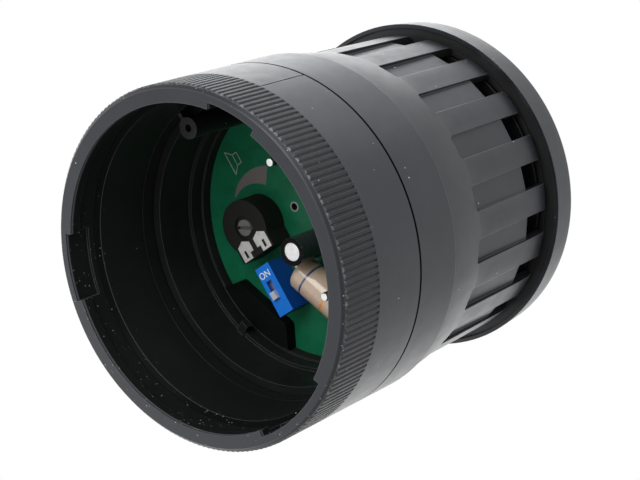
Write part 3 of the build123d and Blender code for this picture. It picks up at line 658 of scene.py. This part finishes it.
def paint_nodes(paints):
    """Gives every CAD node the material of its slot in the record."""
    for entry in frame["record"]["subparts"]:
        node = NODES[entry["node"]]
        node.data.materials.clear()
        node.data.materials.append(paints[entry["material_slot"]].material)


# --- pieces that Blender adds -------------------------------------------------------------------

# Loudspeaker print: height on the layout and half width of its mouth, throat and back.
SPEAKER_MIDDLE = -20.5
SPEAKER_RINGS = ((12.1, 2.6), (10.5, 1.2), (9.2, 1.17))
SPEAKER_STROKE = 0.16
WHITE_INK = (0.42, 0.43, 0.40)
# Volume wedge round the pot: inner radius, outer radius at its thin and wide ends, and its angles.
WEDGE_INNER, WEDGE_THIN, WEDGE_WIDE = 8.0, 8.25, 12.2
WEDGE_START, WEDGE_END, WEDGE_STEPS = 155.0, 224.0, 24
GREY_INK = (0.155, 0.145, 0.135)
# ON mark: how far it stands from the middle of the switch, and its letters in metres.
ON_OFFSET = 3.50
ON_HEIGHT = 2.0 * MM
ON_THICKNESS = 0.01 * MM
ON_BOLDNESS = 0.02 * MM
SWITCH_INK = (0.80, 0.86, 0.92)


def on_layout(x, y, z):
    """A point of the board's layout, in millimetres, as a place in the frame at height z."""
    turn = Matrix.Rotation(LAYOUT_TURN, 3, "Z")
    return turn @ Vector((x * MM, y * MM, 0.0)) + Vector((0.0, 0.0, z))


def flat_piece(name, outlines, paint):
    """Thin print on the board: each outline is a closed run of layout points."""
    verts, faces = [], []
    for outline in outlines:
        first = len(verts)
        verts += [on_layout(x, y, BOARD_FACE - INK_LIFT) for x, y in outline]
        faces.append(list(range(first, len(verts))))
    mesh = bpy.data.meshes.new(name)
    mesh.from_pydata(verts, [], faces)
    mesh.materials.append(paint.material)
    piece = bpy.data.objects.new(name, mesh)
    bpy.context.scene.collection.objects.link(piece)
    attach(piece, "module")


def stroke(start, end, width):
    """Outline of a straight stroke between two layout points."""
    along = (Vector(end) - Vector(start)).normalized() * width / 2
    side = Vector((-along.y, along.x))
    first, last = Vector(start) - along, Vector(end) + along
    return [tuple(first + side), tuple(first - side), tuple(last - side), tuple(last + side)]


def ink_paint(name, colour):
    """Screen print: slightly patchy, matt."""
    paint = Paint(name, colour, 0.6)
    thinner = tuple(c * 0.6 for c in colour)
    paint.blend(paint.ramp(paint.noise(0.35 * MM, 4.0), 0.5, 0.75, 0.0, 0.6), thinner)
    paint.rough(paint.noise(0.5 * MM), 0.5, 0.7)
    paint.relief(paint.noise(0.2 * MM), 0.004 * MM)
    return paint


def loudspeaker_print():
    """Plain loudspeaker symbol, as outlines."""
    left, right = ([(SPEAKER_MIDDLE + side * half, y) for y, half in SPEAKER_RINGS] for side in (-1, 1))
    loop = left + right[::-1]
    lines = [stroke(loop[i], loop[(i + 1) % len(loop)], SPEAKER_STROKE) for i in range(len(loop))]
    lines.append(stroke(left[1], right[1], SPEAKER_STROKE))
    flat_piece("loudspeaker_print", lines, ink_paint("white_ink", WHITE_INK))


def volume_print():
    """Volume wedge beside the pot: an arc that widens as the volume grows."""
    edges = []
    for i in range(WEDGE_STEPS + 1):
        share = i / WEDGE_STEPS
        angle = math.radians(WEDGE_START + (WEDGE_END - WEDGE_START) * share)
        ray = Vector((math.cos(angle), math.sin(angle)))
        outer = WEDGE_THIN + (WEDGE_WIDE - WEDGE_THIN) * share
        edges.append((tuple(POT_AT + ray * WEDGE_INNER), tuple(POT_AT + ray * outer)))
    quads = [[near[0], near[1], far[1], far[0]] for near, far in zip(edges, edges[1:])]
    flat_piece("volume_print", quads, ink_paint("grey_ink", GREY_INK))


def on_mark():
    """The word ON on the switch's face, at the end away from the slider."""
    text = bpy.data.curves.new("on_mark", "FONT")
    text.body = "ON"
    text.align_x = "CENTER"
    text.align_y = "CENTER"
    text.size = ON_HEIGHT
    text.extrude = ON_THICKNESS
    text.offset = ON_BOLDNESS
    mark = bpy.data.objects.new("on_mark", text)
    bpy.context.scene.collection.objects.link(mark)
    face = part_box("switch_body")[0].z
    read_from_below = Matrix(((0, -1, 0, 0), (-1, 0, 0, 0), (0, 0, -1, 0), (0, 0, 0, 1)))
    place = on_layout(SWITCH_AT.x - ON_OFFSET, SWITCH_AT.y, face - INK_LIFT)
    turn = Matrix.Rotation(LAYOUT_TURN, 4, "Z")
    mark.matrix_world = Matrix.Translation(place) @ turn @ read_from_below
    text.materials.append(ink_paint("switch_ink", SWITCH_INK).material)
    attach(mark, "module")


# --- smooth shading -----------------------------------------------------------------------------

def crisp_edges():
    """Modifier tree: joins the solid's facets, shades them smoothly and keeps sharp edges sharp."""
    tree = bpy.data.node_groups.new("crisp_edges", "GeometryNodeTree")
    tree.interface.new_socket("Geometry", in_out="INPUT", socket_type="NodeSocketGeometry")
    tree.interface.new_socket("Geometry", in_out="OUTPUT", socket_type="NodeSocketGeometry")
    start = tree.nodes.new("NodeGroupInput")
    merge = tree.nodes.new("GeometryNodeMergeByDistance")
    merge.inputs["Distance"].default_value = 0.001 * MM
    smooth = tree.nodes.new("GeometryNodeSetShadeSmooth")
    smooth.domain = "FACE"
    angle = tree.nodes.new("GeometryNodeInputMeshEdgeAngle")
    sharp = tree.nodes.new("ShaderNodeMath")
    sharp.operation = "GREATER_THAN"
    sharp.inputs[1].default_value = SHARP_ANGLE
    crease = tree.nodes.new("GeometryNodeSetShadeSmooth")
    crease.domain = "EDGE"
    crease.inputs["Shade Smooth"].default_value = False
    end = tree.nodes.new("NodeGroupOutput")
    for first, second in zip((start, merge, smooth, crease), (merge, smooth, crease, end)):
        tree.links.new(first.outputs["Geometry"], second.inputs["Geometry"])
    tree.links.new(angle.outputs["Unsigned Angle"], sharp.inputs[0])
    tree.links.new(sharp.outputs["Value"], crease.inputs["Selection"])
    return tree


def smooth_nodes():
    """Shades every CAD node: round surfaces smoothly, real edges crisply."""
    tree = crisp_edges()
    for node in NODES.values():
        stale = node.data.attributes.get("custom_normal")
        if stale:
            node.data.attributes.remove(stale)
        modifier = node.modifiers.new("crisp_edges", "NODES")
        modifier.node_group = tree


# --- stage --------------------------------------------------------------------------------------

AMBIENT = 0.7
FLOOR_REACH = 1.2
FLOOR_DROP = 0.05 * MM
PAPER = (0.86, 0.86, 0.86, 1.0)
PAPER_FADE = (0.10, 0.45)
WHITE = (1.0, 1.0, 1.0)
# Lamps: side of the object they stand on, distance from its middle, size, power and colour.
LAMPS = {
    "upper_softbox": ((-0.8, -0.35, 0.45), 0.5, 0.7, 1.0, (0.90, 0.95, 1.0)),
    "camera_softbox": ((-0.5, -0.6, -0.94), 0.5, 0.3, 1.4, WHITE),
    "edge_softbox": ((0.15, 0.83, 0.75), 0.5, 0.6, 0.7, WHITE),
    "top_edge_softbox": ((-0.50, 0.43, 0.75), 0.5, 0.5, 1.25, WHITE),
    "rim_softbox": ((-0.15, 1.0, -0.55), 0.22, 0.15, 0.045, WHITE),
}


def math_node(tree, operation, first, second):
    """A Math node of two sockets."""
    made = tree.nodes.new("ShaderNodeMath")
    made.operation = operation
    made.use_clamp = True
    tree.links.new(first, made.inputs[0])
    tree.links.new(second, made.inputs[1])
    return made.outputs["Value"]


def white_world():
    """Surroundings that look white and light the object at the ambient strength."""
    world = bpy.data.worlds.new("studio")
    bpy.context.scene.world = world
    world.use_nodes = True
    tree = world.node_tree
    shader = tree.nodes["Background"]
    shader.inputs["Color"].default_value = (*WHITE, 1.0)
    rays = tree.nodes.new("ShaderNodeLightPath").outputs
    seen = math_node(tree, "MAXIMUM", rays["Is Camera Ray"], rays["Is Glossy Ray"])
    seen = math_node(tree, "MAXIMUM", seen, rays["Is Transmission Ray"])
    strength = tree.nodes.new("ShaderNodeMapRange")
    strength.inputs["To Min"].default_value = AMBIENT
    strength.inputs["To Max"].default_value = 1.0
    tree.links.new(seen, strength.inputs["Value"])
    tree.links.new(strength.outputs["Result"], shader.inputs["Strength"])


def faded_paper(tree, paper):
    """The paper near the object, plain white farther out, so that no horizon shows."""
    place = tree.nodes.new("ShaderNodeTexCoord")
    reach = tree.nodes.new("ShaderNodeVectorMath")
    reach.operation = "LENGTH"
    tree.links.new(place.outputs["Object"], reach.inputs[0])
    fade = tree.nodes.new("ShaderNodeMapRange")
    fade.inputs["From Min"].default_value, fade.inputs["From Max"].default_value = PAPER_FADE
    tree.links.new(reach.outputs["Value"], fade.inputs["Value"])
    white = tree.nodes.new("ShaderNodeEmission")
    blend = tree.nodes.new("ShaderNodeMixShader")
    tree.links.new(fade.outputs["Result"], blend.inputs["Fac"])
    tree.links.new(paper.outputs["BSDF"], blend.inputs[1])
    tree.links.new(white.outputs["Emission"], blend.inputs[2])
    return blend.outputs["Shader"]


def floor_paper():
    """Pale paper that the camera sees from above only, so that it can look into the socket from below."""
    material = bpy.data.materials.new("floor_paper")
    material.use_nodes = True
    tree = material.node_tree
    paper = tree.nodes["Principled BSDF"]
    paper.inputs["Base Color"].default_value = PAPER
    paper.inputs["Roughness"].default_value = 0.9
    clear = tree.nodes.new("ShaderNodeBsdfTransparent")
    rays = tree.nodes.new("ShaderNodeLightPath").outputs
    side = tree.nodes.new("ShaderNodeNewGeometry").outputs
    mix = tree.nodes.new("ShaderNodeMixShader")
    seen_from_above = math_node(tree, "SUBTRACT", rays["Is Camera Ray"], side["Backfacing"])
    tree.links.new(seen_from_above, mix.inputs["Fac"])
    tree.links.new(clear.outputs["BSDF"], mix.inputs[1])
    tree.links.new(faded_paper(tree, paper), mix.inputs[2])
    tree.links.new(mix.outputs["Shader"], tree.nodes["Material Output"].inputs["Surface"])
    return material


def floor():
    """Pale floor under the rim."""
    corners = [(x * FLOOR_REACH, y * FLOOR_REACH, 0) for x, y in ((-1, -1), (1, -1), (1, 1), (-1, 1))]
    mesh = bpy.data.meshes.new("floor")
    mesh.from_pydata(corners, [], [(0, 1, 2, 3)])
    mesh.materials.append(floor_paper())
    plane = bpy.data.objects.new("floor", mesh)
    plane.location = (0.0, 0.0, CAD_BOX[0].z - FLOOR_DROP)
    bpy.context.scene.collection.objects.link(plane)


def lights():
    """Plain soft lamps that shine at the middle of the object."""
    middle = (CAD_BOX[0] + CAD_BOX[1]) / 2
    for name, (side, distance, size, power, colour) in LAMPS.items():
        light = bpy.data.lights.new(name, "AREA")
        light.color = colour
        light.size = size
        light.energy = power
        lamp = bpy.data.objects.new(name, light)
        aim = Vector(side).normalized()
        lamp.location = middle + aim * distance
        lamp.rotation_mode = "QUATERNION"
        lamp.rotation_quaternion = aim.to_track_quat("Z", "Y")
        bpy.context.scene.collection.objects.link(lamp)


def camera():
    """Camera at the picture's viewing angle."""
    data = bpy.data.cameras.new("camera")
    data.lens = CAMERA_LENS
    data.sensor_width = CAMERA_SENSOR
    data.clip_start, data.clip_end = CAMERA_CLIP
    eye = bpy.data.objects.new("camera", data)
    back = -CAMERA_FORWARD.normalized()
    right = CAMERA_UP.cross(back).normalized()
    up = back.cross(right)
    turn = Matrix((right, up, back)).transposed().to_4x4()
    eye.matrix_world = Matrix.Translation(CAMERA_AT) @ turn
    bpy.context.scene.collection.objects.link(eye)
    bpy.context.scene.camera = eye


# --- assembly -----------------------------------------------------------------------------------

paint_nodes({
    "barrel_plastic": barrel_paint(),
    "housing_plastic": housing_paint(),
    "cap_plastic": cap_paint(),
    "carrier_plastic": carrier_paint(),
    "board_laminate": board_paint(),
    "resistor_coat": resistor_paint(),
    **board_parts_paints(),
    **hidden_parts_paints(),
})
smooth_nodes()
loudspeaker_print()
volume_print()
on_mark()
floor()
white_world()
lights()
camera()
bpy.context.scene.view_settings.view_transform = "Standard"
